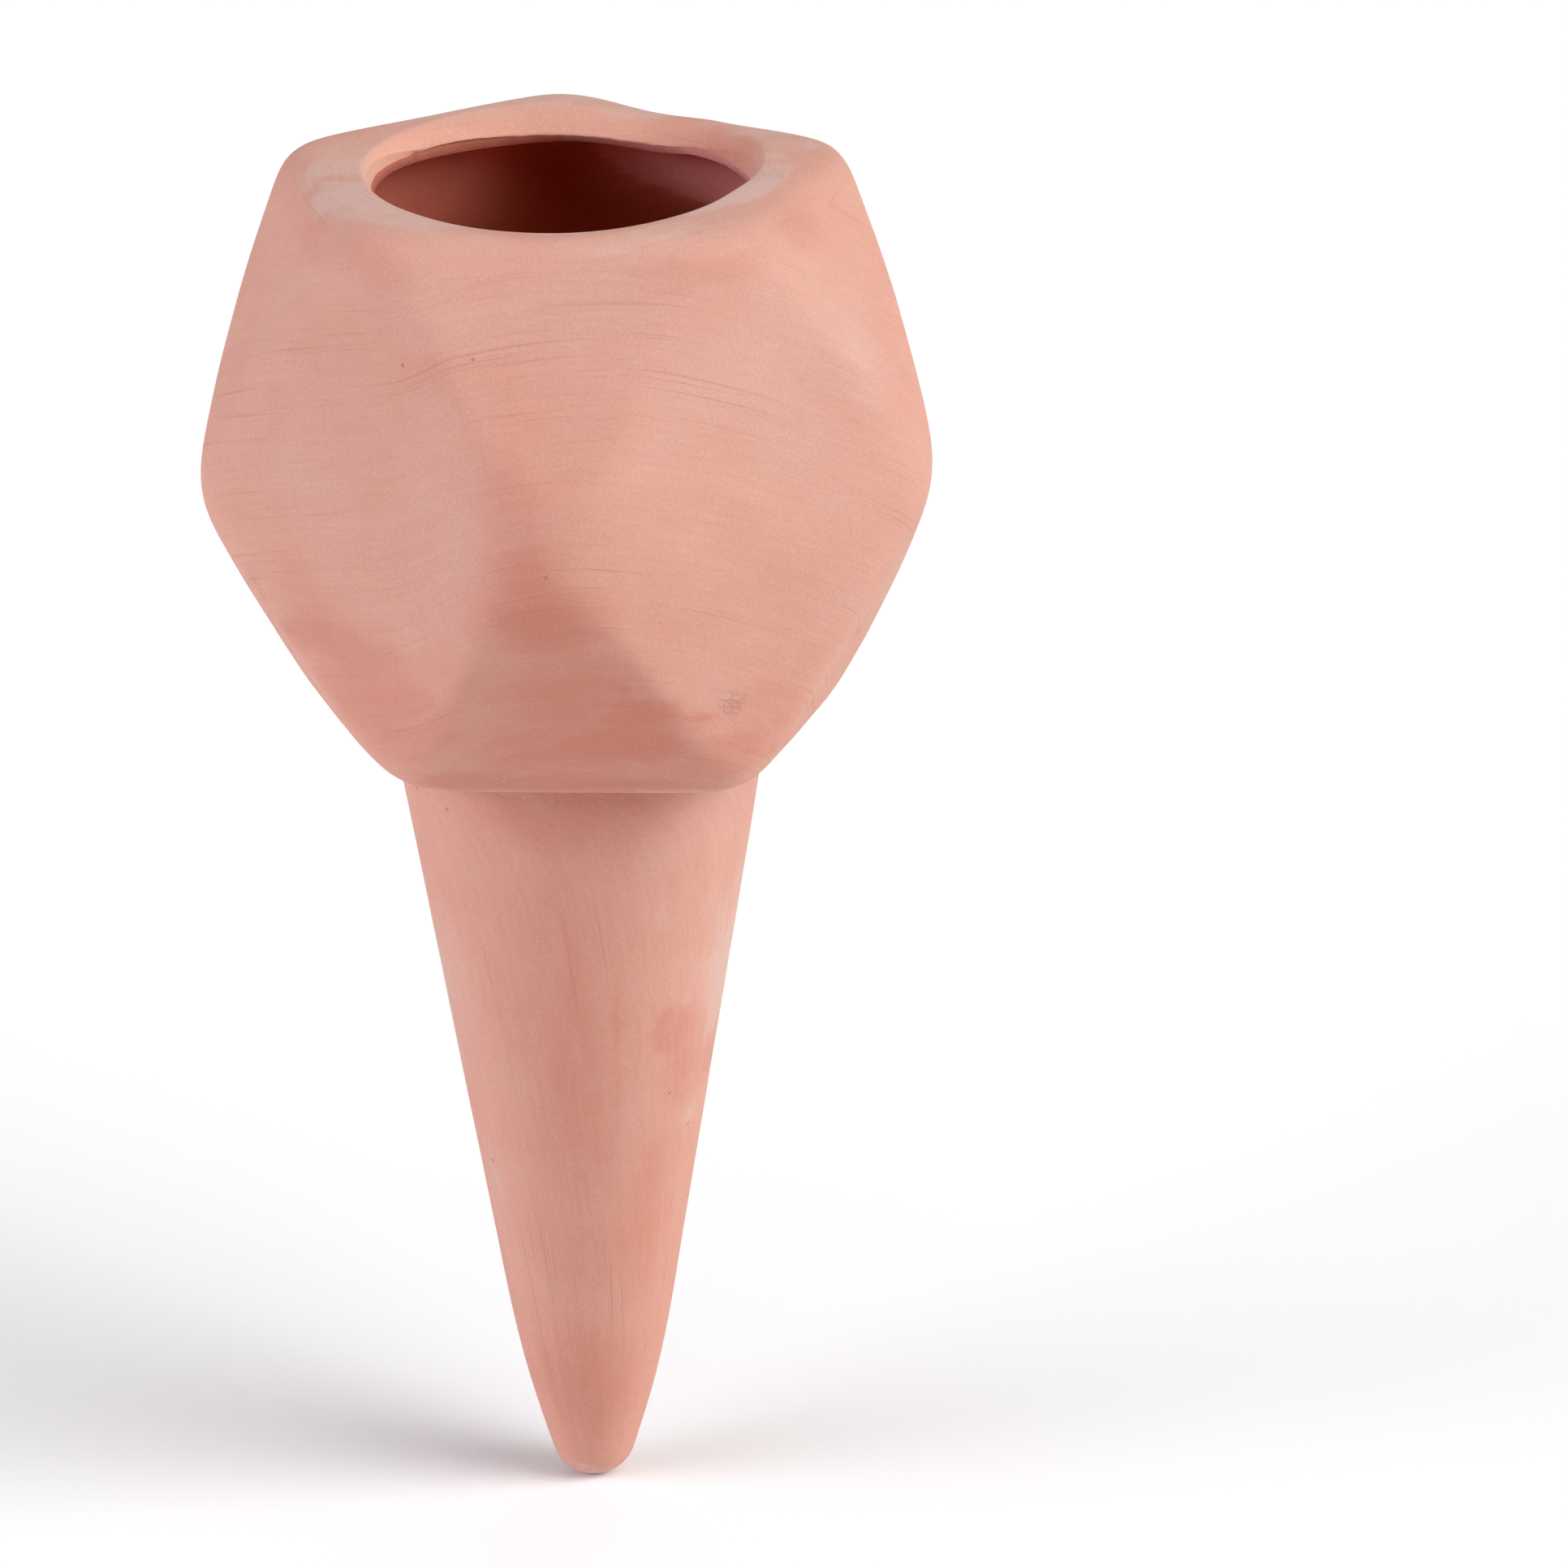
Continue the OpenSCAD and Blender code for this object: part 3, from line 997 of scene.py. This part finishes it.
# Camera
# It stands a little above the rim and to the right, far off, as with a long lens. The angles were
# fitted to the outline in the photograph.
camera_distance = 1262.5
camera_bearing = np.radians(4.33)
camera_elevation = np.radians(19.93)
camera_roll = np.radians(-1.45)
aim_level = -8.49
camera_data = bpy.data.cameras.new("camera")
camera_data.sensor_width = 36
camera_data.lens = 223.6
camera_data.shift_x = 0.1305
camera_data.clip_end = 100
camera = bpy.data.objects.new("camera", camera_data)
bpy.context.scene.collection.objects.link(camera)
back = Vector((
    np.sin(camera_bearing) * np.cos(camera_elevation),
    -np.cos(camera_bearing) * np.cos(camera_elevation),
    np.sin(camera_elevation),
))
camera.rotation_mode = "QUATERNION"
camera.rotation_quaternion = back.to_track_quat("Z", "Y") @ Euler((0, 0, camera_roll)).to_quaternion()
camera.location = Vector((0, 0, aim_level * MM)) + back * camera_distance * MM
bpy.context.scene.camera = camera

# Floor and light
# A matt white board at the tip's level, seen from above only, in a dim white room. Large softboxes
# stand at the right, high and low, weaker and cooler ones at the left, one overhead and a faint
# one behind.
floor_reach_metres = 30
floor_mesh = bpy.data.meshes.new("floor")
floor_corners = [(-1, -1), (1, -1), (1, 1), (-1, 1)]
floor_points = [(x * floor_reach_metres, y * floor_reach_metres, spike_low.z) for x, y in floor_corners]
floor_mesh.from_pydata(floor_points, [], [(0, 1, 2, 3)])
floor = bpy.data.objects.new("floor", floor_mesh)
bpy.context.scene.collection.objects.link(floor)
board = bpy.data.materials.new("matt_white_board")
board.use_nodes = True
board.node_tree.nodes.clear()
paint = add(board.node_tree, "ShaderNodeBsdfDiffuse", {"Color": linear("#FCFCFC")}).outputs[0]
clear = add(board.node_tree, "ShaderNodeBsdfTransparent", {}).outputs[0]
under = add(board.node_tree, "ShaderNodeNewGeometry", {}).outputs["Backfacing"]
one_sided = add(board.node_tree, "ShaderNodeMixShader", {0: under, 1: paint, 2: clear}).outputs[0]
add(board.node_tree, "ShaderNodeOutputMaterial", {"Surface": one_sided})
floor_mesh.materials.append(board)

world = bpy.data.worlds.new("white_room")
world.use_nodes = True
world.node_tree.nodes["Background"].inputs["Color"].default_value = (1, 1, 1, 1)
world.node_tree.nodes["Background"].inputs["Strength"].default_value = 0.02
bpy.context.scene.world = world


def softbox(name, bearing, elevation, width, strength, colour):
    """A far softbox: parallel light from a bearing and elevation, as wide as it looks in degrees."""
    lamp = bpy.data.lights.new(name, "SUN")
    lamp.angle = np.radians(width)
    lamp.energy = strength
    lamp.color = linear(colour)[:3]
    light = bpy.data.objects.new(name, lamp)
    bpy.context.scene.collection.objects.link(light)
    turn, rise = np.radians(bearing), np.radians(elevation)
    away = Vector((np.sin(turn) * np.cos(rise), -np.cos(turn) * np.cos(rise), np.sin(rise)))
    light.location = away
    light.rotation_mode = "QUATERNION"
    light.rotation_quaternion = away.to_track_quat("Z", "Y")


softbox("key", 62, 40, 40, 1.23, "#FFFFFF")
softbox("key_low", 75, 27, 40, 1.54, "#FAFEFF")
softbox("edge", 90, 15, 40, 0.54, "#F6FCFF")
softbox("fill", -78, 12, 40, 1.31, "#F6F5FF")
softbox("fill_high", -60, 25, 40, 1.12, "#F6F5FF")
softbox("top", 0, 80, 60, 0.78, "#FFFFFF")
softbox("back", 170, 35, 50, 0.25, "#FFFFFF")
bpy.context.scene.view_settings.view_transform = "Standard"
